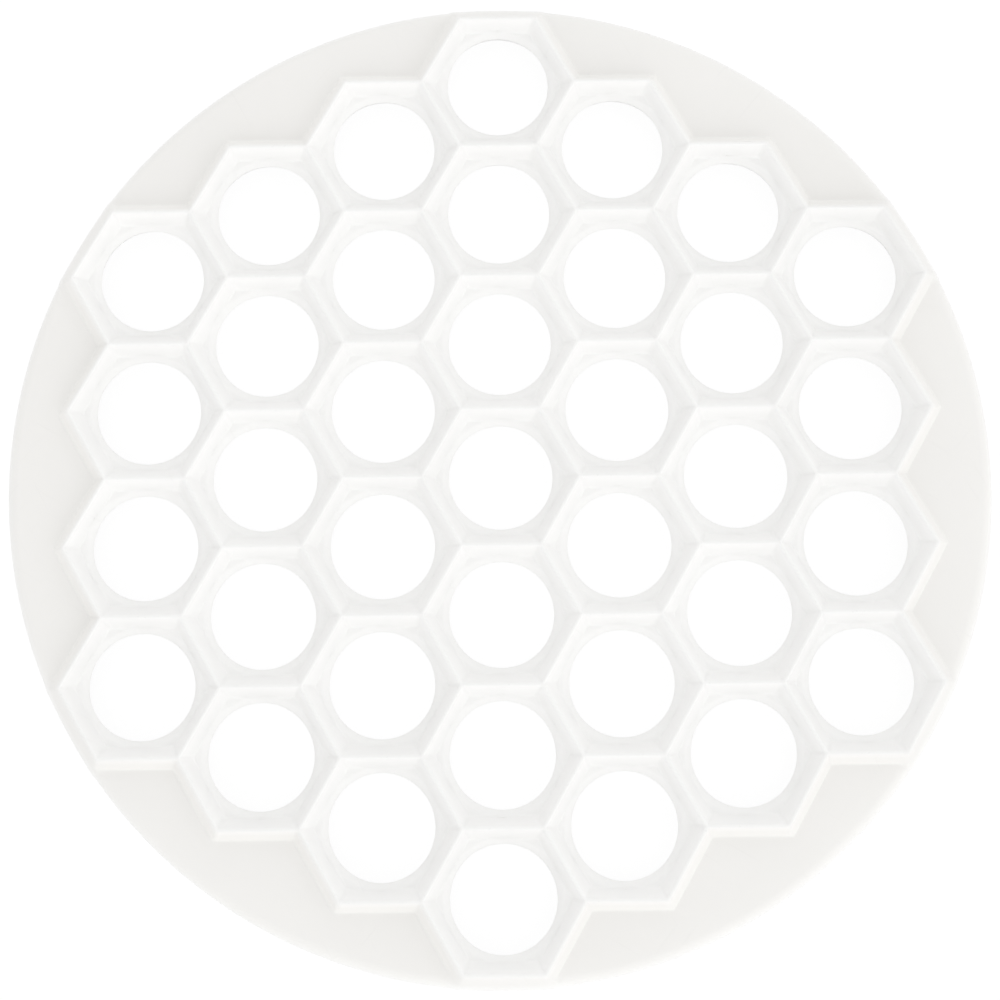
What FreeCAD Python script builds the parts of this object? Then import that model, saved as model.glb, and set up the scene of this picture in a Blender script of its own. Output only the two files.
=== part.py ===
"""Round dumpling mould: one plate with 37 hexagonal cells, each with a round hole through it.

The real thing is a single plastic moulding.  It is laid out here as the regions it is made
of: 37 cells that meet along the crests of the ridges, and six sectors of rim around them.
X points right and Y up in the plan view, Z points up, and the origin lies in the middle of
the plane that the plate rests on.
"""
import FreeCAD, Part
import math
import os
import Sketcher
from FreeCAD import Placement, Rotation, Vector

# Name of the size, its value in millimetres, and what it measures.
SIZES = [
    ("cell_pitch", 34.0, "distance between the centres of neighbouring holes"),
    ("ridge_width", 5.5, "width of a ridge at its foot"),
    ("ridge_height", 4.0, "height of a ridge above the deck"),
    ("crest_radius", 1.0, "rounding along the top of a ridge"),
    ("lip_shelf", 0.1, "level strip between the foot of a ridge and the lip of the hole"),
    ("lip_radius", 1.15, "rounding of the hole's upper edge"),
    ("deck_height", 9.0, "top of the deck above the plane the plate rests on"),
    ("deck_thickness", 2.2, "thickness of the deck"),
    ("collar_wall", 1.5, "wall of the collar under each hole"),
    ("collar_drop", 1.3, "how far the collar stands below the deck"),
    ("skirt_wall", 2.0, "wall of the skirt that stands round the plate's edge"),
    ("rim_margin", 1.75, "rim left outside the ridges of the corner cells"),
    ("edge_radius", 2.0, "rounding of the plate's upper outer edge"),
    ("overrun", 5.0, "how far a cutting shape reaches past what it cuts"),
]

CELL_RINGS = 3
HEXAGON_SIDES = 6
FULL_TURN = 360
SECTOR_ANGLE = FULL_TURN / HEXAGON_SIDES
FIRST_SECTOR_ANGLE = SECTOR_ANGLE / 2
RIDGE_ANGLES = [FIRST_SECTOR_ANGLE + turn * SECTOR_ANGLE for turn in range(HEXAGON_SIDES // 2)]
GUIDE_SHARE = 0.25

COLUMN_LETTERS = "abcdefg"
RIM_NAMES = ("rim_top_right", "rim_top_left", "rim_left",
             "rim_bottom_left", "rim_bottom_right", "rim_right")

FOOT_APOTHEM = "(Sizes.cell_pitch - Sizes.ridge_width) / 2"
OUTER_FOOT_APOTHEM = "(Sizes.cell_pitch + Sizes.ridge_width) / 2"
CREST_LEVEL = "Sizes.deck_height + Sizes.ridge_height"
DECK_UNDERSIDE = "Sizes.deck_height - Sizes.deck_thickness"
HOLE_RADIUS = "(" + FOOT_APOTHEM + " - Sizes.lip_shelf - Sizes.lip_radius)"
CORNER_DISTANCE = "(%d * Sizes.cell_pitch)" % CELL_RINGS
PLATE_RADIUS = "(" + CORNER_DISTANCE + " + " + OUTER_FOOT_APOTHEM + " + Sizes.rim_margin)"
GUIDE_RADIUS = "%g * Sizes.cell_pitch" % (CELL_RINGS - GUIDE_SHARE)
CELL_CIRCUMRADIUS = "Sizes.cell_pitch / sqrt(3)"

X_AXIS = Vector(1, 0, 0)
Z_AXIS = Vector(0, 0, 1)
Y_AXIS_INDEX = -2


def make_sheet(doc):
    """Put every driving size into the spreadsheet under its own name."""
    sheet = doc.addObject("Spreadsheet::Sheet", "Sizes")
    for row, (alias, value, meaning) in enumerate(SIZES, start=1):
        sheet.set("A%d" % row, alias)
        sheet.set("B%d" % row, str(value))
        sheet.set("C%d" % row, meaning)
        sheet.setAlias("B%d" % row, alias)
    doc.recompute()
    return sheet


def bind(obj, **expressions):
    """Tie properties of an object to expressions of the sheet's sizes."""
    for name, expression in expressions.items():
        obj.setExpression(name.replace("__", "."), expression)
    return obj


def combine(doc, kind, name, shapes):
    """Fuse or intersect several shapes."""
    result = doc.addObject(kind, name)
    result.Shapes = shapes
    result.Refine = True
    return result


def cut(doc, name, base, tool):
    """Take one shape away from another."""
    result = doc.addObject("Part::Cut", name)
    result.Base = base
    result.Tool = tool
    result.Refine = True
    return result


def link(doc, name, source):
    """Stand a copy of a shape in the document, to be placed on its own."""
    copy = doc.addObject("App::Link", name)
    copy.LinkedObject = source
    copy.LinkTransform = False
    return copy


def upright_sketch(doc, name, turn):
    """An empty sketch that stands on edge: its x runs outwards at this angle, its y runs up."""
    sketch = doc.addObject("Sketcher::SketchObject", name)
    sketch.Placement = Placement(Vector(), Rotation(Z_AXIS, turn) * Rotation(X_AXIS, 90))
    return sketch


def add_line(sketch, start, end):
    """Draw one straight line and return its number."""
    return sketch.addGeometry(Part.LineSegment(Vector(*start, 0), Vector(*end, 0)))


def add_arc(sketch, centre, radius, from_angle, to_angle):
    """Draw one arc, anticlockwise between two angles in degrees, and return its number."""
    circle = Part.Circle(Vector(*centre, 0), Z_AXIS, radius)
    arc = Part.ArcOfCircle(circle, math.radians(from_angle), math.radians(to_angle))
    return sketch.addGeometry(arc)


def constrain(sketch, *terms):
    """Add one constraint and return its number."""
    return sketch.addConstraint(Sketcher.Constraint(*terms))


def name_size(sketch, number, name, expression):
    """Name a dimension of a sketch and tie it to the sheet."""
    sketch.renameConstraint(number, name)
    sketch.setExpression("Constraints." + name, expression)


def ridge_trough_sketch(doc, name, turn, size):
    """Section across one cell above its surface: level floor, two flanks, two half crests."""
    half = size["cell_pitch"] / 2
    foot = half - size["ridge_width"] / 2
    floor = size["deck_height"]
    crest = floor + size["ridge_height"]
    top = crest + size["overrun"]
    radius = size["crest_radius"]
    flank_angle = flank_slope(size)
    lean = 90 + flank_angle
    touch_in = half - radius * math.sin(math.radians(flank_angle))
    touch_up = crest - radius + radius * math.cos(math.radians(flank_angle))

    sketch = upright_sketch(doc, name, turn)
    base = add_line(sketch, (-foot, floor), (foot, floor))
    right_flank = add_line(sketch, (foot, floor), (touch_in, touch_up))
    right_crest = add_arc(sketch, (half, crest - radius), radius, 90, lean)
    right_side = add_line(sketch, (half, crest), (half, top))
    lid = add_line(sketch, (half, top), (-half, top))
    left_side = add_line(sketch, (-half, top), (-half, crest))
    left_crest = add_arc(sketch, (-half, crest - radius), radius, 180 - lean, 90)
    left_flank = add_line(sketch, (-touch_in, touch_up), (-foot, floor))

    constrain(sketch, "Horizontal", lid)
    for line in (right_side, left_side):
        constrain(sketch, "Vertical", line)
    constrain(sketch, "Coincident", base, 2, right_flank, 1)
    constrain(sketch, "Tangent", right_flank, 2, right_crest, 2)
    constrain(sketch, "Coincident", right_crest, 1, right_side, 1)
    constrain(sketch, "Coincident", right_side, 2, lid, 1)
    constrain(sketch, "Coincident", lid, 2, left_side, 1)
    constrain(sketch, "Coincident", left_side, 2, left_crest, 2)
    constrain(sketch, "Tangent", left_crest, 1, left_flank, 1)
    constrain(sketch, "Coincident", left_flank, 2, base, 1)
    constrain(sketch, "Vertical", right_crest, 3, right_crest, 1)
    constrain(sketch, "Vertical", left_crest, 3, left_crest, 2)
    constrain(sketch, "Equal", right_crest, left_crest)
    constrain(sketch, "Symmetric", base, 1, base, 2, Y_AXIS_INDEX)
    constrain(sketch, "Symmetric", right_crest, 1, left_crest, 2, Y_AXIS_INDEX)
    name_size(sketch, constrain(sketch, "DistanceX", -1, 1, base, 2, foot),
              "foot_apothem", FOOT_APOTHEM)
    name_size(sketch, constrain(sketch, "DistanceX", -1, 1, right_crest, 1, half),
              "crest_apothem", "Sizes.cell_pitch / 2")
    name_size(sketch, constrain(sketch, "DistanceY", -1, 1, base, 2, floor),
              "floor_level", "Sizes.deck_height")
    name_size(sketch, constrain(sketch, "DistanceY", -1, 1, right_crest, 1, crest),
              "crest_level", CREST_LEVEL)
    name_size(sketch, constrain(sketch, "DistanceY", right_side, 1, right_side, 2, top - crest),
              "overrun", "Sizes.overrun")
    name_size(sketch, constrain(sketch, "Radius", right_crest, radius),
              "crest_radius", "Sizes.crest_radius")
    return sketch


def ridge_hill_sketch(doc, name, turn, size):
    """Section through the outside of one cell's ridges, carried down into the plate's edge."""
    half = size["cell_pitch"] / 2
    foot = half + size["ridge_width"] / 2
    floor = size["deck_height"]
    crest = floor + size["ridge_height"]
    low = floor - size["edge_radius"]
    radius = size["crest_radius"]
    flank_angle = flank_slope(size)
    lean = 90 - flank_angle
    touch_out = half + radius * math.sin(math.radians(flank_angle))
    touch_up = crest - radius + radius * math.cos(math.radians(flank_angle))
    low_foot = foot + (floor - low) / math.tan(math.radians(flank_angle))

    sketch = upright_sketch(doc, name, turn)
    base = add_line(sketch, (-low_foot, low), (low_foot, low))
    right_flank = add_line(sketch, (low_foot, low), (touch_out, touch_up))
    right_crest = add_arc(sketch, (half, crest - radius), radius, lean, 90)
    lid = add_line(sketch, (half, crest), (-half, crest))
    left_crest = add_arc(sketch, (-half, crest - radius), radius, 90, 180 - lean)
    left_flank = add_line(sketch, (-touch_out, touch_up), (-low_foot, low))
    mark = sketch.addGeometry(Part.Point(Vector(foot, floor, 0)), True)

    constrain(sketch, "Coincident", base, 2, right_flank, 1)
    constrain(sketch, "Tangent", right_flank, 2, right_crest, 1)
    constrain(sketch, "Coincident", right_crest, 2, lid, 1)
    constrain(sketch, "Coincident", lid, 2, left_crest, 1)
    constrain(sketch, "Tangent", left_crest, 2, left_flank, 1)
    constrain(sketch, "Coincident", left_flank, 2, base, 1)
    constrain(sketch, "Vertical", right_crest, 3, right_crest, 2)
    constrain(sketch, "Vertical", left_crest, 3, left_crest, 1)
    constrain(sketch, "Equal", right_crest, left_crest)
    constrain(sketch, "Symmetric", base, 1, base, 2, Y_AXIS_INDEX)
    constrain(sketch, "Symmetric", right_crest, 2, left_crest, 1, Y_AXIS_INDEX)
    constrain(sketch, "PointOnObject", mark, 1, right_flank)
    name_size(sketch, constrain(sketch, "DistanceX", -1, 1, mark, 1, foot),
              "foot_apothem", OUTER_FOOT_APOTHEM)
    name_size(sketch, constrain(sketch, "DistanceY", -1, 1, mark, 1, floor),
              "floor_level", "Sizes.deck_height")
    name_size(sketch, constrain(sketch, "DistanceX", -1, 1, right_crest, 2, half),
              "crest_apothem", "Sizes.cell_pitch / 2")
    name_size(sketch, constrain(sketch, "DistanceY", -1, 1, right_crest, 2, crest),
              "crest_level", CREST_LEVEL)
    name_size(sketch, constrain(sketch, "DistanceY", -1, 1, base, 2, low),
              "base_level", "Sizes.deck_height - Sizes.edge_radius")
    name_size(sketch, constrain(sketch, "Radius", right_crest, radius),
              "crest_radius", "Sizes.crest_radius")
    return sketch


def flank_slope(size):
    """Angle in degrees at which a ridge's flank rises from its foot to touch its round crest."""
    run = size["ridge_width"] / 2
    rise = size["ridge_height"] - size["crest_radius"]
    bow = math.asin(size["crest_radius"] / math.hypot(run, rise))
    return math.degrees(math.atan2(rise, run) + bow)


def hexagonal(doc, name, sketch_maker, size):
    """The shape common to three bars of one section, which run along the three ridge ways."""
    bars = []
    for turn in RIDGE_ANGLES:
        bar = doc.addObject("Part::Extrusion", "%s_bar_%d" % (name, turn))
        bar.Base = sketch_maker(doc, "%s_section_%d" % (name, turn), turn, size)
        bar.DirMode = "Normal"
        bar.Solid = True
        bar.Symmetric = True
        bind(bar, LengthFwd="2 * Sizes.cell_pitch")
        bars.append(bar)
    return combine(doc, "Part::MultiCommon", name, bars)


def cell_block(doc, name):
    """A hexagonal block as wide as one cell, from crest to crest."""
    block = doc.addObject("Part::Prism", name)
    block.Polygon = HEXAGON_SIDES
    return bind(block, Circumradius=CELL_CIRCUMRADIUS)


def hole_section_sketch(doc, size):
    """Half section of a cell's hole: straight below, and flared to a round lip at the deck."""
    foot = (size["cell_pitch"] - size["ridge_width"]) / 2
    lip = size["lip_radius"]
    mouth = foot - size["lip_shelf"]
    bore = mouth - lip
    deck = size["deck_height"]
    top = deck + size["overrun"]

    sketch = upright_sketch(doc, "hole_section", 0)
    base = add_line(sketch, (0, 0), (bore, 0))
    wall = add_line(sketch, (bore, 0), (bore, deck - lip))
    lip_arc = add_arc(sketch, (mouth, deck - lip), lip, 90, 180)
    side = add_line(sketch, (mouth, deck), (mouth, top))
    lid = add_line(sketch, (mouth, top), (0, top))
    middle = add_line(sketch, (0, top), (0, 0))

    for line in (base, lid):
        constrain(sketch, "Horizontal", line)
    for line in (wall, side, middle):
        constrain(sketch, "Vertical", line)
    for first, second in ((base, wall), (side, lid), (lid, middle), (middle, base)):
        constrain(sketch, "Coincident", first, 2, second, 1)
    constrain(sketch, "Coincident", wall, 2, lip_arc, 2)
    constrain(sketch, "Coincident", lip_arc, 1, side, 1)
    constrain(sketch, "Horizontal", lip_arc, 3, lip_arc, 2)
    constrain(sketch, "Vertical", lip_arc, 3, lip_arc, 1)
    constrain(sketch, "Coincident", base, 1, -1, 1)
    name_size(sketch, constrain(sketch, "DistanceX", base, 1, base, 2, bore),
              "hole_radius", HOLE_RADIUS)
    name_size(sketch, constrain(sketch, "Radius", lip_arc, lip),
              "lip_radius", "Sizes.lip_radius")
    name_size(sketch, constrain(sketch, "DistanceY", -1, 1, side, 1, deck),
              "deck_level", "Sizes.deck_height")
    name_size(sketch, constrain(sketch, "DistanceY", side, 1, side, 2, top - deck),
              "overrun", "Sizes.overrun")
    return sketch


def revolve(doc, name, section, angle):
    """Turn an upright section about the vertical axis through the origin."""
    body = doc.addObject("Part::Revolution", name)
    body.Source = section
    body.Base = Vector()
    body.Axis = Z_AXIS
    body.Angle = angle
    body.Solid = True
    return body


def make_cell(doc, size):
    """One cell: its hexagon of deck, the inner half of its ridges, and its hole and collar."""
    deck = cell_block(doc, "cell_deck")
    bind(deck, Height="Sizes.deck_thickness + Sizes.ridge_height",
         Placement__Base__z=DECK_UNDERSIDE)
    pocket = hexagonal(doc, "pocket", ridge_trough_sketch, size)
    floor = cut(doc, "cell_floor", deck, pocket)
    collar = doc.addObject("Part::Cylinder", "collar")
    bind(collar, Radius=HOLE_RADIUS + " + Sizes.collar_wall",
         Height="Sizes.collar_drop + Sizes.deck_thickness / 2",
         Placement__Base__z=DECK_UNDERSIDE + " - Sizes.collar_drop")
    walls = combine(doc, "Part::MultiFuse", "cell_walls", [floor, collar])
    hole = revolve(doc, "hole", hole_section_sketch(doc, size), FULL_TURN)
    return cut(doc, "cell", walls, hole)


def rim_section_sketch(doc, size):
    """Section of the rim: the deck, its rounded edge and the skirt below it."""
    inner = (CELL_RINGS - GUIDE_SHARE) * size["cell_pitch"]
    corner = CELL_RINGS * size["cell_pitch"]
    ridge_foot = (size["cell_pitch"] + size["ridge_width"]) / 2
    outer = corner + ridge_foot + size["rim_margin"]
    skirt = outer - size["skirt_wall"]
    floor = size["deck_height"]
    underside = floor - size["deck_thickness"]
    edge = size["edge_radius"]

    sketch = upright_sketch(doc, "rim_section", FIRST_SECTOR_ANGLE)
    top = add_line(sketch, (inner, floor), (outer - edge, floor))
    edge_arc = add_arc(sketch, (outer - edge, floor - edge), edge, 0, 90)
    wall = add_line(sketch, (outer, floor - edge), (outer, 0))
    foot = add_line(sketch, (outer, 0), (skirt, 0))
    skirt_inside = add_line(sketch, (skirt, 0), (skirt, underside))
    under = add_line(sketch, (skirt, underside), (inner, underside))
    end = add_line(sketch, (inner, underside), (inner, floor))

    for line in (top, foot, under):
        constrain(sketch, "Horizontal", line)
    for line in (wall, skirt_inside, end):
        constrain(sketch, "Vertical", line)
    constrain(sketch, "Tangent", top, 2, edge_arc, 2)
    constrain(sketch, "Tangent", edge_arc, 1, wall, 1)
    for first, second in ((wall, foot), (foot, skirt_inside), (skirt_inside, under),
                          (under, end), (end, top)):
        constrain(sketch, "Coincident", first, 2, second, 1)
    constrain(sketch, "PointOnObject", foot, 1, -1)
    name_size(sketch, constrain(sketch, "DistanceX", -1, 1, foot, 1, outer),
              "plate_radius", PLATE_RADIUS)
    name_size(sketch, constrain(sketch, "DistanceX", foot, 2, foot, 1, size["skirt_wall"]),
              "skirt_wall", "Sizes.skirt_wall")
    name_size(sketch, constrain(sketch, "DistanceX", -1, 1, end, 1, inner),
              "inner_radius", GUIDE_RADIUS)
    name_size(sketch, constrain(sketch, "DistanceY", -1, 1, top, 1, floor),
              "deck_level", "Sizes.deck_height")
    name_size(sketch, constrain(sketch, "DistanceY", end, 1, end, 2, floor - underside),
              "deck_thickness", "Sizes.deck_thickness")
    name_size(sketch, constrain(sketch, "Radius", edge_arc, edge),
              "edge_radius", "Sizes.edge_radius")
    return sketch


def outer_side_cells():
    """Lattice steps of the cells along one side of the honeycomb, from corner to corner."""
    return [(CELL_RINGS - step, step) for step in range(CELL_RINGS + 1)]


def place_on_lattice(obj, right_steps, up_steps):
    """Move an object by steps along the lattice's two ways, at 30 and at 90 degrees."""
    across = "%d * Sizes.cell_pitch * cos(30)" % right_steps
    along = "%g * Sizes.cell_pitch" % (up_steps + right_steps / 2)
    return bind(obj, Placement__Base__x=across, Placement__Base__y=along)


def make_rim(doc, size):
    """One sixth of the rim, from the middle of a corner cell to the middle of the next."""
    ring = revolve(doc, "rim_ring", rim_section_sketch(doc, size), SECTOR_ANGLE)
    hill = hexagonal(doc, "hill", ridge_hill_sketch, size)
    block = bind(cell_block(doc, "cell_space"), Height=CREST_LEVEL + " + Sizes.overrun")
    hills = []
    blocks = []
    for right_steps, up_steps in outer_side_cells():
        label = "%d_%d" % (right_steps, up_steps)
        hills.append(place_on_lattice(link(doc, "hill_" + label, hill), right_steps, up_steps))
        blocks.append(place_on_lattice(link(doc, "space_" + label, block), right_steps, up_steps))

    reach = doc.addObject("Part::Cylinder", "rim_reach")
    reach.Angle = SECTOR_ANGLE
    bind(reach, Radius=PLATE_RADIUS, Height=CREST_LEVEL + " + Sizes.overrun")
    reach.Placement.Rotation = Rotation(Z_AXIS, FIRST_SECTOR_ANGLE)
    core = doc.addObject("Part::Cylinder", "rim_core")
    bind(core, Radius=GUIDE_RADIUS, Height=CREST_LEVEL + " + Sizes.overrun")
    sector = cut(doc, "rim_sector", reach, core)
    ridges = combine(doc, "Part::MultiFuse", "rim_ridges", hills)
    inside = combine(doc, "Part::MultiCommon", "rim_ridges_inside", [ridges, sector])
    whole = combine(doc, "Part::MultiFuse", "rim_whole", [ring, inside])
    cells = combine(doc, "Part::MultiFuse", "rim_cells", blocks)
    return cut(doc, "rim", whole, cells)


def make_cells(doc, cell):
    """Stand a cell at each place of the honeycomb, named by column letter and row from the top."""
    cells = []
    for column, letter in enumerate(COLUMN_LETTERS):
        right_steps = column - CELL_RINGS
        count = len(COLUMN_LETTERS) - abs(right_steps)
        for row in range(count):
            up_steps = (count - 1 - right_steps) / 2 - row
            node = link(doc, "cell_%s%d" % (letter, row + 1), cell)
            cells.append(place_on_lattice(node, right_steps, up_steps))
    return cells


def make_rims(doc, rim):
    """Turn copies of the sixth of rim about the middle, to close the ring."""
    rims = []
    for turn, name in enumerate(RIM_NAMES):
        node = link(doc, name, rim)
        node.Placement.Rotation = Rotation(Z_AXIS, turn * SECTOR_ANGLE)
        rims.append(node)
    return rims


def check(doc, nodes):
    """Stop if anything in the document failed or a sub-part has no sound single solid."""
    for obj in doc.Objects:
        if "Invalid" in obj.State or "Error" in obj.State:
            raise RuntimeError("failed: " + obj.Name)
    for node in nodes:
        shape = node.Shape
        if shape.isNull() or not shape.isValid() or len(shape.Solids) != 1:
            raise RuntimeError("not one sound solid: " + node.Label)


def main():
    """Build the mould and write one file for each of its regions."""
    doc = FreeCAD.newDocument("dumpling_mould")
    sheet = make_sheet(doc)
    size = {alias: float(sheet.get(alias)) for alias, _, _ in SIZES}
    nodes = make_cells(doc, make_cell(doc, size)) + make_rims(doc, make_rim(doc, size))
    doc.recompute()
    check(doc, nodes)
    os.makedirs("parts", exist_ok=True)
    for node in nodes:
        node.Shape.exportStep("parts/%s.step" % node.Label)
    volume = sum(node.Shape.Volume for node in nodes)
    print("%d regions, %.1f cm3" % (len(nodes), volume / 1000))


main()
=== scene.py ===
"""Looks of the round dumpling mould: its one moulding, the white plastic, the floor, light and camera."""
import math

import bmesh
import bpy
import numpy as np
from mathutils import Matrix, Vector


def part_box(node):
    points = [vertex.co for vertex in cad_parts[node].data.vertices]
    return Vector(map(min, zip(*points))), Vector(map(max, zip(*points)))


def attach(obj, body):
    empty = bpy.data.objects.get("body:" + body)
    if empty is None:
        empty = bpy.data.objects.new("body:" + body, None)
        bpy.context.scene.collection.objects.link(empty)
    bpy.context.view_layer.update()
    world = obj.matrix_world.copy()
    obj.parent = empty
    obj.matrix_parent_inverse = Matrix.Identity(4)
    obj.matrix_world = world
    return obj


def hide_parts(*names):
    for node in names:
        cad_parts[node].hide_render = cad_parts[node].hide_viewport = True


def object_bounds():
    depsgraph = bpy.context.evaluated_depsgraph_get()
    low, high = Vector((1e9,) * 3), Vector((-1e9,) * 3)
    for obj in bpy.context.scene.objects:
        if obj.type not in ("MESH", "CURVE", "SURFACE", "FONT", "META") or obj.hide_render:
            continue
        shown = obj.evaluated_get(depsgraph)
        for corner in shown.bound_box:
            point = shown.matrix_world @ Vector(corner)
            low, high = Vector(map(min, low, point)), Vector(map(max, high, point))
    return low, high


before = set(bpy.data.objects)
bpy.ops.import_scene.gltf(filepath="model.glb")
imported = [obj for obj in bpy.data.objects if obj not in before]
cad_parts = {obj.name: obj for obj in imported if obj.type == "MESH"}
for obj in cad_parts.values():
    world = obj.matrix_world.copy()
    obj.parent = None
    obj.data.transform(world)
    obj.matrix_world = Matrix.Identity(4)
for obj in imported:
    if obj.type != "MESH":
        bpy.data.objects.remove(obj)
cad_low, cad_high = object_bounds()

MM = 0.001
TINY = 1e-12
HEXAGON_SIDES = 6
CELL_RINGS = 3
SECTOR = math.pi / 3
HALF_SECTOR = SECTOR / 2

# Sizes that the frame gives
middle_low, middle_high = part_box("cell_d4")
PITCH = middle_high.y - middle_low.y
HALF_PITCH = PITCH / 2
CREST_LEVEL = middle_high.z
COLLAR_END = middle_low.z
PLATE_RADIUS = cad_high.x

# Sizes of the ridges, holes and walls
RIDGE_HEIGHT = 4.0 * MM
RIDGE_WIDTH = 5.5 * MM
CREST_RADIUS = 0.6 * MM
HOLE_RADIUS = 13.0 * MM
LIP_WIDTH = 1.6 * MM
LIP_DROP = 1.0 * MM
LIP_START = 0.6
DECK_THICKNESS = 2.2 * MM
COLLAR_WALL = 1.5 * MM
HOLE_DRAFT = 0.55 * MM
SKIRT_WALL = 2.0 * MM
EDGE_RADIUS = 3.2 * MM
BEAD = 0.35 * MM
FILLET = 0.5 * MM
BEAD_STEPS = 3
EDGE_STEPS = 7

# Over how far from the outermost crests the painted shade of the rim sets in
RIM_SHADE_START = 0.9 * MM

# How far two slopes melt into each other, measured in height
FOOT_BLEND = 0.4 * MM
VALLEY_BLEND = 0.6 * MM
HIP_BLEND = 0.5 * MM

FOOT = RIDGE_WIDTH / 2
DECK_LEVEL = CREST_LEVEL - RIDGE_HEIGHT
UNDERSIDE = DECK_LEVEL - DECK_THICKNESS
WELD_DISTANCE = 0.002 * MM

# Where the rim is narrow, the rows beside the crests use this share of it
NARROW_RIM_SHARE = 0.75

# Plastic: its two cloudy tones, the painted shade that makes the rim and outer flanks greyer, how far
# scratches dull it, and the painted shade on the crests.
# A noise is given by its scale, detail and roughness, a bump by its strength and distance.
DEEP_TONE = (0.945, 0.942, 0.93, 1)
PALE_TONE = (0.965, 0.962, 0.951, 1)
TONE_STOPS = (0.3, 0.7)
CLOUD_NOISE = (28, 4, 0.6)
# Painted shade: this colour darkens and warms the rim and the outer flanks
RIM_PAINTED_SHADE = (0.937, 0.93, 0.918, 1)
SCRATCH_TURNS = [0.7, -0.5, 2.1]
SCRATCH_STRETCH = (1300, 40, 40)
SCRATCH_NOISE = (1, 1, 0.5)
SCRATCH_SPAN = (0.72, 0.8)
SCRATCH_DULLING = 0.983
SCRATCH_BUMP = (0.6, 0.6 * MM)
GRAIN_NOISE = (900, 3, 0.6)
GRAIN_SPAN = (0.3, 0.7)
GRAIN_BUMP = (0.3, 0.01 * MM)
SATIN_ROUGHNESS = (0.36, 0.46)
SAG_NOISE = (55, 2, 0.5)
SAG_BUMP = (0.5, 0.15 * MM)
# Crests: smoother, and darkened by painted shade that takes away their highlight
CREST_PAINTED_SHADE = 0.975
WEAR_POLISH = 0.1
CREST_POLISH_AND_SHADE_DEPTH = 1.5 * CREST_RADIUS
PLASTIC_IOR = 1.49

# Floor, and light of the surroundings: strengths, and azimuths and strengths of the soft boxes
WHITE = (1, 1, 1, 1)
FLOOR_SIZE = 6
FLOOR_TONE = (0.72, 0.72, 0.72, 1)
FLOOR_GLOW = 0.95
FLOOR_SHADE = (0.08, 0.08, 0.08, 1)
EVEN_LIGHT = 0.761
HORIZON_LIGHT = 0.457
SOFT_BOXES = [(-math.pi / 6, 0.444), (-math.pi / 2, 0.446), (math.pi / 2, 0.304)]
BOX_RISE = math.pi / 9
BOX_NARROWNESS = 4

# Camera: focal length and shift in widths of the picture, place, and turns about X, Y and Z
SENSOR_WIDTH = 36
FOCAL_SHARE = 1.835
CAMERA_SHIFT = (-0.0053, -0.1388)
CAMERA_PLACE = (-0.8 * MM, -49.7 * MM, 466.1 * MM)
CAMERA_TURNS = [(9.83, "X"), (-0.27, "Y"), (-0.42, "Z")]

# Columns of a cell's mesh in one sector, and rows over the crest and down the flank, as shares
RAY_SHARES = np.array([-1, -0.92, -0.8, -0.63, -0.45, -0.23, 0, 0.23, 0.45, 0.63, 0.8, 0.92])
CREST_SHARES = np.array([0, 0.25, 0.5, 0.75, 1])
FLANK_SHARES = np.array([0.4, 0.8])
FOOT_SHARES = np.array([0.9, 1, 1.1, 1.2])
LIP_SHARES = np.array([-0.08, 0.08, 0.35, 0.6, 0.8, 0.94, 1])
RIM_SHARES = np.array([0.4, 0.75, 0.88, 0.96, 1.04, 1.12, 1.25, 1.5])
BLANK_SHARES = np.array([0.3, 0.65, 1])


def soft_max(first, second, blend):
    """The larger of two heights, rounded by a parabola where they differ by less than blend."""
    gap = np.clip(blend - np.abs(first - second), 0, None)
    return np.maximum(first, second) + gap ** 2 / np.maximum(4 * blend, TINY)


def flank_angle():
    """Angle at which the straight flank leaves its foot to touch the round crest."""
    rise = RIDGE_HEIGHT - CREST_RADIUS
    return math.atan2(rise, FOOT) + math.asin(CREST_RADIUS / math.hypot(FOOT, rise))


FLANK_TANGENT = math.tan(flank_angle())
CREST_TOUCH = CREST_RADIUS * math.sin(flank_angle())
FLANK_WIDTH = FOOT - CREST_TOUCH


def ridge_profile(distance):
    """Height over the deck, away from a crest line: an arc over the crest, then the straight flank."""
    near = np.clip(distance, 0, CREST_TOUCH)
    arc = RIDGE_HEIGHT - CREST_RADIUS + np.sqrt(CREST_RADIUS ** 2 - near ** 2)
    line = (FOOT - distance) * FLANK_TANGENT
    return np.where(distance < CREST_TOUCH, arc, line)


def join_ridges(heights):
    """Union of ridges, given as a stack of heights: the valley between the two highest is rounded."""
    ordered = np.sort(heights, axis=0)
    highest, second = ordered[-1], ordered[-2]
    blend = VALLEY_BLEND * np.clip(1 - highest / RIDGE_HEIGHT, 0, 1)
    return soft_max(highest, second, blend)


def edge_normals():
    """Unit normals of a cell's six edges, at 30, 90, 150 degrees and so on, as a 6 by 2 array."""
    angles = HALF_SECTOR + SECTOR * np.arange(HEXAGON_SIDES)
    return np.column_stack([np.cos(angles), np.sin(angles)])


def cell_height(radius, angle):
    """Level of a cell's floor, ridges and lip at polar places round the cell's centre.

    The ridges are join_ridges of ridge_profile(half pitch minus p . n) for the six edge normals n,
    melted into the deck.  The lip takes off LIP_DROP (a s + (1 - a) s^2), s running from 0 at its
    outer border to 1 at the hole and a being LIP_START.
    """
    place = np.stack([radius * np.cos(angle), radius * np.sin(angle)], axis=-1)
    distances = HALF_PITCH - np.tensordot(edge_normals(), place, axes=(1, -1))
    height = soft_max(join_ridges(ridge_profile(distances)), 0.0, FOOT_BLEND)
    share = np.clip(1 - (radius - HOLE_RADIUS) / LIP_WIDTH, 0, 1)
    return DECK_LEVEL + height - LIP_DROP * (LIP_START * share + (1 - LIP_START) * share ** 2)


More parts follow.
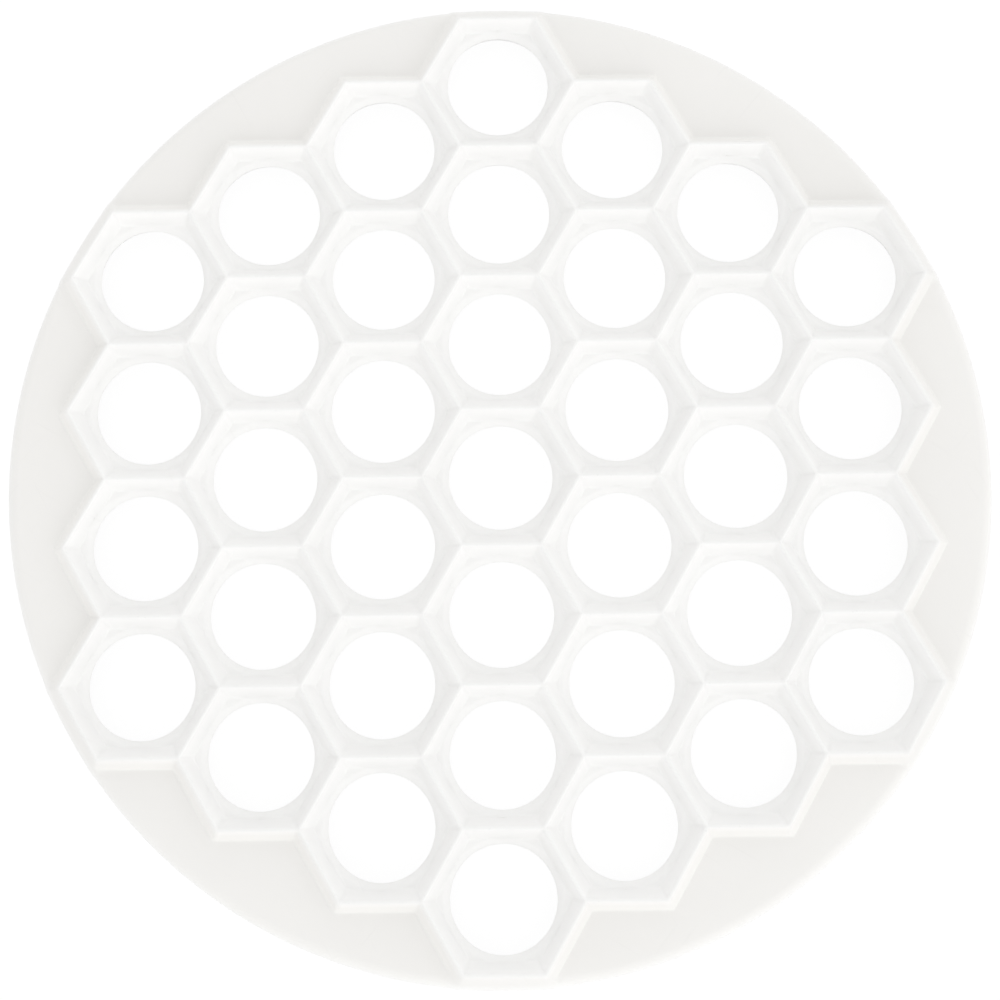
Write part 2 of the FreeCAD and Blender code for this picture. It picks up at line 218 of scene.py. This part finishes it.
def rim_height(place, outer_centres):
    """Level of the rim at places in the plan: hills round the outer cells, deck and rounded edge.

    A hill is ridge_profile of the hexagonal distance, max over n of (p - centre) . n, past the
    cell's edge.  The rim falls off as a quarter circle within the edge radius of the outline.
    """
    across = (place[None, ...] - outer_centres[:, None, None, :]) @ edge_normals().T
    ordered = np.sort(across, axis=-1)
    sharp = ordered[..., -1] - HALF_PITCH
    blend = HIP_BLEND * np.clip(sharp / CREST_RADIUS, 0, 1)
    distance = soft_max(ordered[..., -1], ordered[..., -2], blend) - HALF_PITCH
    hills = join_ridges(ridge_profile(np.clip(distance, 0, None)))
    past = np.clip(np.hypot(place[..., 0], place[..., 1]) - (PLATE_RADIUS - EDGE_RADIUS), 0, EDGE_RADIUS)
    fall = np.sqrt(EDGE_RADIUS ** 2 - past ** 2) - EDGE_RADIUS
    return DECK_LEVEL + soft_max(hills, fall, FOOT_BLEND)


def cell_centres():
    """Centres of the 37 cells: a 30 degree and a 90 degree step, at most three rings out."""
    steps = range(-CELL_RINGS, CELL_RINGS + 1)
    pairs = [(a, b) for a in steps for b in steps if abs(a + b) <= CELL_RINGS]
    return np.array([(a * PITCH * math.cos(HALF_SECTOR), (b + a / 2) * PITCH) for a, b in pairs])


def bead_turns(count):
    """Sines and one minus cosines of a quarter turn in equal steps, ends included."""
    turn = np.linspace(0, math.pi / 2, count)
    return np.sin(turn), 1 - np.cos(turn)


def wall_path(inner, outer, end, top_outer):
    """Section of a wall that hangs down: round its end, and up the other face to a fillet.

    Returns distances and levels.  The wall lies between inner and outer and ends at the level end.
    """
    sine, bend = bead_turns(BEAD_STEPS)
    side = 1 if outer > inner else -1
    down = [(inner + side * BEAD * b, end + BEAD * (1 - s)) for s, b in zip(sine, bend)]
    up = [(outer - side * BEAD * b, end + BEAD * (1 - s)) for s, b in zip(sine[::-1], bend[::-1])]
    root = [(outer + side * FILLET * b, top_outer - FILLET * (1 - s)) for s, b in zip(sine, bend)]
    return down + up + root


def quads(rows, columns):
    """Vertex numbers of the quads of a ring-shaped grid: rows outwards, columns anticlockwise, facing up."""
    row = np.arange(rows - 1)[:, None]
    column = np.arange(columns)[None, :]
    following = (column + 1) % columns
    here = row * columns
    corners = [here + column, here + columns + column, here + columns + following, here + following]
    return np.stack(np.broadcast_arrays(*corners), axis=-1).reshape(-1, 4)


def cell_grid():
    """One cell as a grid of points: rows go from the crest line down the hole and back below.

    A column is a ray at angle a from the cell's centre; a hexagonal row has the radius
    (half pitch - distance) / cos(a - angle of its edge), and the rows of the lip are circles.
    """
    relative = np.tile(RAY_SHARES * HALF_SECTOR, HEXAGON_SIDES)
    sector = np.repeat(HALF_SECTOR + SECTOR * np.arange(HEXAGON_SIDES), len(RAY_SHARES))
    angle = sector + relative
    reach = 1 / np.cos(relative)

    steps = np.concatenate([CREST_SHARES * CREST_TOUCH, CREST_TOUCH + FLANK_SHARES * FLANK_WIDTH])
    ridge_rows = (HALF_PITCH - steps)[:, None] * reach
    lip_rows = (HOLE_RADIUS + LIP_WIDTH * (1 - LIP_SHARES))[:, None] * np.ones_like(reach)
    foot_rows = (HALF_PITCH - CREST_TOUCH - FOOT_SHARES * FLANK_WIDTH)[:, None] * reach
    even = np.arange(len(FOOT_SHARES), 0, -1)[:, None] / (len(FOOT_SHARES) + 1)
    foot_rows = np.maximum(foot_rows, lip_rows[0] + (ridge_rows[-1] - lip_rows[0]) * even)
    radius = np.concatenate([ridge_rows, foot_rows, lip_rows])
    level = cell_height(radius, angle[None, :])

    wall = wall_path(HOLE_RADIUS + HOLE_DRAFT, HOLE_RADIUS + COLLAR_WALL, COLLAR_END, UNDERSIDE)
    wall_radius = np.array([r for r, _ in wall])[:, None] * np.ones_like(reach)
    wall_level = np.array([z for _, z in wall])[:, None] * np.ones_like(reach)
    near = wall_radius[-1] + FILLET
    below = np.stack([near, HALF_PITCH * reach])
    radius = np.concatenate([radius, wall_radius, below])
    level = np.concatenate([level, wall_level, np.full_like(below, UNDERSIDE)])
    return np.stack([radius * np.cos(angle), radius * np.sin(angle), level], axis=-1)


def outline_of_cells(centres):
    """The zigzag crest line round all cells, anticlockwise, and the way each point moves outwards.

    The way is n + t * shift, n being the edge's normal and t its tangent, so that lines at a
    distance from the crest stay parallel to it and meet in mitres.
    """
    normals = edge_normals()
    edges = []
    for centre in centres:
        for normal in normals:
            beyond = centre + normal * PITCH
            if np.min(np.hypot(*(centres - beyond).T)) > HALF_PITCH:
                middle = centre + normal * HALF_PITCH
                edges.append((math.atan2(middle[1], middle[0]), middle, normal))
    edges.sort(key=lambda edge: edge[0])
    along = np.tan(RAY_SHARES * HALF_SECTOR) * HALF_PITCH
    points, ways = [], []
    for number, (_, middle, normal) in enumerate(edges):
        tangent = np.array([-normal[1], normal[0]])
        shifts = []
        for neighbour in (edges[number - 1][2], edges[(number + 1) % len(edges)][2]):
            mitre = (normal + neighbour) / (1 + normal @ neighbour)
            shifts.append(mitre @ tangent)
        share = (1 - along / along[0]) / 2
        shift = shifts[0] * (1 - share) + shifts[1] * share
        points.append(middle + along[:, None] * tangent)
        ways.append(normal + shift[:, None] * tangent)
    return np.concatenate(points), np.concatenate(ways)


def rim_grid(centres):
    """The rim as a grid: rows go from the crest line out to the edge, down and back below.

    The first rows lie at fixed distances from the crest line, the next ones on circles about the
    plate's middle, each no nearer to the middle than the row before.
    """
    line, way = outline_of_cells(centres)
    distances = np.concatenate([CREST_SHARES * CREST_TOUCH, CREST_TOUCH + RIM_SHARES * FLANK_WIDTH])
    farthest = line + way * distances[-1]
    room = (PLATE_RADIUS - np.hypot(*line.T)) / (np.hypot(*farthest.T) - np.hypot(*line.T))
    squeeze = np.minimum(1, NARROW_RIM_SHARE * room)
    rows = line[None] + way[None] * (distances[:, None] * squeeze)[..., None]

    start = np.hypot(rows[-1, :, 0], rows[-1, :, 1])
    turn = np.arctan2(rows[-1, :, 1], rows[-1, :, 0])
    sine, _ = bead_turns(EDGE_STEPS)
    flat_edge = PLATE_RADIUS - EDGE_RADIUS
    blank = start + (flat_edge - start) * BLANK_SHARES[:, None]
    rounding = flat_edge + EDGE_RADIUS * sine[1:, None] * np.ones_like(start)
    wanted = np.concatenate([blank, rounding])
    even = np.arange(1, len(wanted) + 1)[:, None] / len(wanted)
    circle = np.maximum(wanted, start + (PLATE_RADIUS - start) * even)
    circles = np.stack([circle * np.cos(turn), circle * np.sin(turn)], axis=-1)
    plan = np.concatenate([rows, circles])
    outer = centres[np.hypot(*centres.T) > (CELL_RINGS - 1) * PITCH + WELD_DISTANCE]
    top = np.concatenate([plan, rim_height(plan, outer)[..., None]], axis=-1)

    side = wall_path(PLATE_RADIUS, PLATE_RADIUS - SKIRT_WALL, 0.0, UNDERSIDE)
    ring = np.array([r for r, _ in side])[:, None]
    side_level = np.array([z for _, z in side])[:, None] * np.ones_like(turn)
    walls = np.stack([ring * np.cos(turn), ring * np.sin(turn), side_level], axis=-1)
    under = np.concatenate([line, np.full((len(line), 1), UNDERSIDE)], axis=1)[None]
    return np.concatenate([top, walls, under])


def rim_shade_share(points, centres):
    """How much painted shade a place gets: 0 on the cells, 1 on the rim past them, 0 on the rounded edge.

    The share rises with the hexagonal distance past the nearest cell, and falls with the radius.
    """
    past = np.full(len(points), PLATE_RADIUS)
    for centre in centres:
        past = np.minimum(past, ((points[:, :2] - centre) @ edge_normals().T).max(axis=1) - HALF_PITCH)
    rise = np.clip(past / RIM_SHADE_START, 0, 1)
    room = PLATE_RADIUS - np.hypot(points[:, 0], points[:, 1])
    return rise * np.clip(2 * room / EDGE_RADIUS, 0, 1)


def moulding_mesh():
    """The whole moulding: one cell's grid at each centre and the rim, welded along the crests."""
    centres = cell_centres()
    cell = cell_grid()
    flipped = quads(*cell.shape[:2])[:, ::-1]
    points, faces = [], []
    for number, centre in enumerate(centres):
        points.append(cell.reshape(-1, 3) + np.array([centre[0], centre[1], 0]))
        faces.append(flipped + number * cell.shape[0] * cell.shape[1])
    rim = rim_grid(centres)
    faces.append(quads(*rim.shape[:2]) + sum(len(p) for p in points))
    points.append(rim.reshape(-1, 3))
    points, faces = np.concatenate(points), np.concatenate(faces)

    mesh = bpy.data.meshes.new("moulding")
    mesh.from_pydata(points.tolist(), [], faces.tolist())
    work = bmesh.new()
    work.from_mesh(mesh)
    bmesh.ops.remove_doubles(work, verts=work.verts, dist=WELD_DISTANCE)
    work.to_mesh(mesh)
    work.free()
    mesh.shade_smooth()

    welded = np.empty(len(mesh.vertices) * 3)
    mesh.vertices.foreach_get("co", welded)
    # This attribute carries the painted shade of the rim and the outer flanks
    rim_shade = mesh.attributes.new("rim_shade", "FLOAT", "POINT")
    rim_shade.data.foreach_set("value", rim_shade_share(welded.reshape(-1, 3), centres))
    return mesh


def node(tree, kind, **inputs):
    """Add a shader node; inputs given by name are set on its sockets."""
    made = tree.nodes.new(kind)
    for name, value in inputs.items():
        made.inputs[name.replace("_", " ")].default_value = value
    return made


def calculate(tree, operation, first, second):
    """Add a math node on two outputs or numbers and return its output."""
    made = tree.nodes.new("ShaderNodeMath")
    made.operation = operation
    for socket, value in zip(made.inputs, (first, second)):
        if isinstance(value, (int, float)):
            socket.default_value = value
        else:
            tree.links.new(value, socket)
    return made.outputs["Value"]


def noise(tree, place, scale, detail, roughness):
    """Add a noise texture on a place and return its value."""
    made = node(tree, "ShaderNodeTexNoise", Scale=scale, Detail=detail, Roughness=roughness)
    tree.links.new(place, made.inputs["Vector"])
    return made.outputs["Fac"]


def spread(tree, value, source, target):
    """Add a clamped map from one span of values to another and return its result."""
    made = node(tree, "ShaderNodeMapRange", From_Min=source[0], From_Max=source[1], To_Min=target[0],
                To_Max=target[1])
    tree.links.new(value, made.inputs["Value"])
    return made.outputs["Result"]


def dulled(tree, colour, share):
    """Scale a colour by a value and return it."""
    made = tree.nodes.new("ShaderNodeVectorMath")
    made.operation = "SCALE"
    tree.links.new(colour, made.inputs[0])
    tree.links.new(share, made.inputs["Scale"])
    return made.outputs["Vector"]


def bumped(tree, height, strength, distance, normal=None):
    """Add a bump on top of another one and return the normal."""
    made = node(tree, "ShaderNodeBump", Strength=strength, Distance=distance)
    tree.links.new(height, made.inputs["Height"])
    if normal:
        tree.links.new(normal, made.inputs["Normal"])
    return made.outputs["Normal"]


def cloudy_tone_with_rim_shade(tree, place):
    """Cloudy white, multiplied by the painted rim shade as far as the place gets it: greyer and a little
    warmer on the rim and outer flanks.
    """
    tone = tree.nodes.new("ShaderNodeValToRGB")
    for element, position, colour in zip(tone.color_ramp.elements, TONE_STOPS, (DEEP_TONE, PALE_TONE)):
        element.position = position
        element.color = colour
    tree.links.new(noise(tree, place, *CLOUD_NOISE), tone.inputs["Fac"])
    rim_shade = tree.nodes.new("ShaderNodeAttribute")
    rim_shade.attribute_name = "rim_shade"
    mix = tree.nodes.new("ShaderNodeMix")
    mix.data_type = "RGBA"
    mix.blend_type = "MULTIPLY"
    factor = mix.inputs[0]
    first, second = [socket for socket in mix.inputs if socket.type == "RGBA"]
    second.default_value = RIM_PAINTED_SHADE
    tree.links.new(rim_shade.outputs["Fac"], factor)
    tree.links.new(tone.outputs["Color"], first)
    return [socket for socket in mix.outputs if socket.type == "RGBA"][0]


def hair_scratches(tree, place):
    """Share of light that hair scratches leave: noise stretched into lines in three directions."""
    lines = []
    for turn in SCRATCH_TURNS:
        turned = node(tree, "ShaderNodeVectorRotate", Angle=turn)
        tree.links.new(place, turned.inputs["Vector"])
        stretch = node(tree, "ShaderNodeMapping", Scale=SCRATCH_STRETCH)
        tree.links.new(turned.outputs["Vector"], stretch.inputs["Vector"])
        lines.append(noise(tree, stretch.outputs["Vector"], *SCRATCH_NOISE))
    most = calculate(tree, "MAXIMUM", calculate(tree, "MAXIMUM", lines[0], lines[1]), lines[2])
    return spread(tree, most, SCRATCH_SPAN, (1, SCRATCH_DULLING))


def white_plastic():
    """Satin white plastic: cloudy tone, painted shade that greys the rim, grain, waviness, scratches, and
    crests made smoother and darker with painted shade.
    """
    material = bpy.data.materials.new("white_plastic")
    material.use_nodes = True
    tree = material.node_tree
    shader = tree.nodes["Principled BSDF"]
    place = tree.nodes.new("ShaderNodeTexCoord").outputs["Object"]
    split = tree.nodes.new("ShaderNodeSeparateXYZ")
    tree.links.new(place, split.inputs["Vector"])

    scratches = hair_scratches(tree, place)
    # The crest band lowers the roughness and darkens the colour with painted shade
    crest_polish_and_shade = spread(tree, split.outputs["Z"], (CREST_LEVEL - CREST_POLISH_AND_SHADE_DEPTH, CREST_LEVEL), (0, WEAR_POLISH))
    # Painted shade: the rim and outer flanks darker, then the crests darker
    colour = dulled(tree, cloudy_tone_with_rim_shade(tree, place), scratches)
    colour = dulled(tree, colour, spread(tree, crest_polish_and_shade, (0, WEAR_POLISH), (1, CREST_PAINTED_SHADE)))
    tree.links.new(colour, shader.inputs["Base Color"])

    grain = noise(tree, place, *GRAIN_NOISE)
    satin = spread(tree, grain, GRAIN_SPAN, SATIN_ROUGHNESS)
    tree.links.new(calculate(tree, "SUBTRACT", satin, crest_polish_and_shade), shader.inputs["Roughness"])

    sag = bumped(tree, noise(tree, place, *SAG_NOISE), *SAG_BUMP)
    fine = bumped(tree, grain, *GRAIN_BUMP, sag)
    tree.links.new(bumped(tree, scratches, *SCRATCH_BUMP, fine), shader.inputs["Normal"])
    shader.inputs["IOR"].default_value = PLASTIC_IOR
    return material


def add_piece(name, mesh, material):
    """Put a mesh in the scene as a piece of the object."""
    piece = bpy.data.objects.new(name, mesh)
    bpy.context.scene.collection.objects.link(piece)
    mesh.materials.append(material)
    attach(piece, "root")
    return piece


def make_moulding():
    """The one moulding, which stands for all cell and rim nodes."""
    piece = add_piece("moulding", moulding_mesh(), white_plastic())
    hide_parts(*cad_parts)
    return piece


def link_seen(tree):
    """A value that is 1 for camera, glossy and transmission rays and 0 for all others."""
    path = tree.nodes.new("ShaderNodeLightPath")
    seen = path.outputs["Is Camera Ray"]
    for name in ("Is Glossy Ray", "Is Transmission Ray"):
        seen = calculate(tree, "MAXIMUM", seen, path.outputs[name])
    return seen


def floor_white():
    """Floor: white with a faint shadow where it is seen, plain pale where it only lights the plate.

    From below it is clear, so that it doesn't hide the underside.
    """
    material = bpy.data.materials.new("floor_white")
    material.use_nodes = True
    tree = material.node_tree
    tree.nodes.remove(tree.nodes["Principled BSDF"])
    plain = node(tree, "ShaderNodeBsdfDiffuse", Color=FLOOR_TONE)
    glow = node(tree, "ShaderNodeEmission", Color=WHITE, Strength=FLOOR_GLOW)
    shaded = node(tree, "ShaderNodeBsdfDiffuse", Color=FLOOR_SHADE)
    bright = tree.nodes.new("ShaderNodeAddShader")
    tree.links.new(glow.outputs["Emission"], bright.inputs[0])
    tree.links.new(shaded.outputs["BSDF"], bright.inputs[1])
    choice = tree.nodes.new("ShaderNodeMixShader")
    tree.links.new(link_seen(tree), choice.inputs["Fac"])
    tree.links.new(plain.outputs["BSDF"], choice.inputs[1])
    tree.links.new(bright.outputs["Shader"], choice.inputs[2])
    clear = tree.nodes.new("ShaderNodeBsdfTransparent")
    side = tree.nodes.new("ShaderNodeMixShader")
    tree.links.new(tree.nodes.new("ShaderNodeNewGeometry").outputs["Backfacing"], side.inputs["Fac"])
    tree.links.new(choice.outputs["Shader"], side.inputs[1])
    tree.links.new(clear.outputs["BSDF"], side.inputs[2])
    tree.links.new(side.outputs["Shader"], tree.nodes["Material Output"].inputs["Surface"])
    return material


def make_floor():
    """A wide pale floor under the plate."""
    bpy.ops.mesh.primitive_plane_add(size=FLOOR_SIZE, location=(0, 0, 0))
    floor = bpy.context.object
    floor.name = "floor"
    floor.data.materials.append(floor_white())
    return floor


def make_light():
    """Soft light from all round: even, brighter towards the horizon, and three broad soft boxes.

    The strength in the direction d is even + horizon (1 - d.z)^2 + sum of box max(0, d . b)^4,
    b being the direction of a box.
    The camera sees plain white.
    """
    world = bpy.data.worlds.new("surroundings")
    bpy.context.scene.world = world
    world.use_nodes = True
    tree = world.node_tree
    direction = tree.nodes.new("ShaderNodeTexCoord").outputs["Generated"]
    split = tree.nodes.new("ShaderNodeSeparateXYZ")
    tree.links.new(direction, split.inputs["Vector"])
    height = calculate(tree, "MAXIMUM", split.outputs["Z"], 0)
    low = calculate(tree, "POWER", calculate(tree, "SUBTRACT", 1, height), 2)
    strength = calculate(tree, "ADD", calculate(tree, "MULTIPLY", low, HORIZON_LIGHT), EVEN_LIGHT)
    for azimuth, power in SOFT_BOXES:
        toward = Matrix.Rotation(azimuth, 3, "Z") @ Vector((math.cos(BOX_RISE), 0, math.sin(BOX_RISE)))
        dot = tree.nodes.new("ShaderNodeVectorMath")
        dot.operation = "DOT_PRODUCT"
        tree.links.new(direction, dot.inputs[0])
        dot.inputs[1].default_value = toward
        lobe = calculate(tree, "POWER", calculate(tree, "MAXIMUM", dot.outputs["Value"], 0), BOX_NARROWNESS)
        strength = calculate(tree, "ADD", strength, calculate(tree, "MULTIPLY", lobe, power))
    light = tree.nodes["Background"]
    light.inputs["Color"].default_value = WHITE
    tree.links.new(strength, light.inputs["Strength"])
    backdrop = node(tree, "ShaderNodeBackground", Color=WHITE, Strength=1)
    choice = tree.nodes.new("ShaderNodeMixShader")
    tree.links.new(tree.nodes.new("ShaderNodeLightPath").outputs["Is Camera Ray"], choice.inputs["Fac"])
    tree.links.new(light.outputs["Background"], choice.inputs[1])
    tree.links.new(backdrop.outputs["Background"], choice.inputs[2])
    tree.links.new(choice.outputs["Shader"], tree.nodes["World Output"].inputs["Surface"])


def make_camera():
    """The photo's view: nearly straight down, from a little towards the lower edge of the plate."""
    data = bpy.data.cameras.new("camera")
    data.lens = SENSOR_WIDTH * FOCAL_SHARE
    data.sensor_width = SENSOR_WIDTH
    data.shift_x, data.shift_y = CAMERA_SHIFT
    camera = bpy.data.objects.new("camera", data)
    bpy.context.scene.collection.objects.link(camera)
    camera.matrix_world = Matrix.Translation(CAMERA_PLACE)
    for angle, axis in CAMERA_TURNS:
        camera.matrix_world = camera.matrix_world @ Matrix.Rotation(math.radians(angle), 4, axis)
    bpy.context.scene.camera = camera


make_moulding()
make_floor()
make_light()
make_camera()
bpy.context.scene.view_settings.view_transform = "Standard"
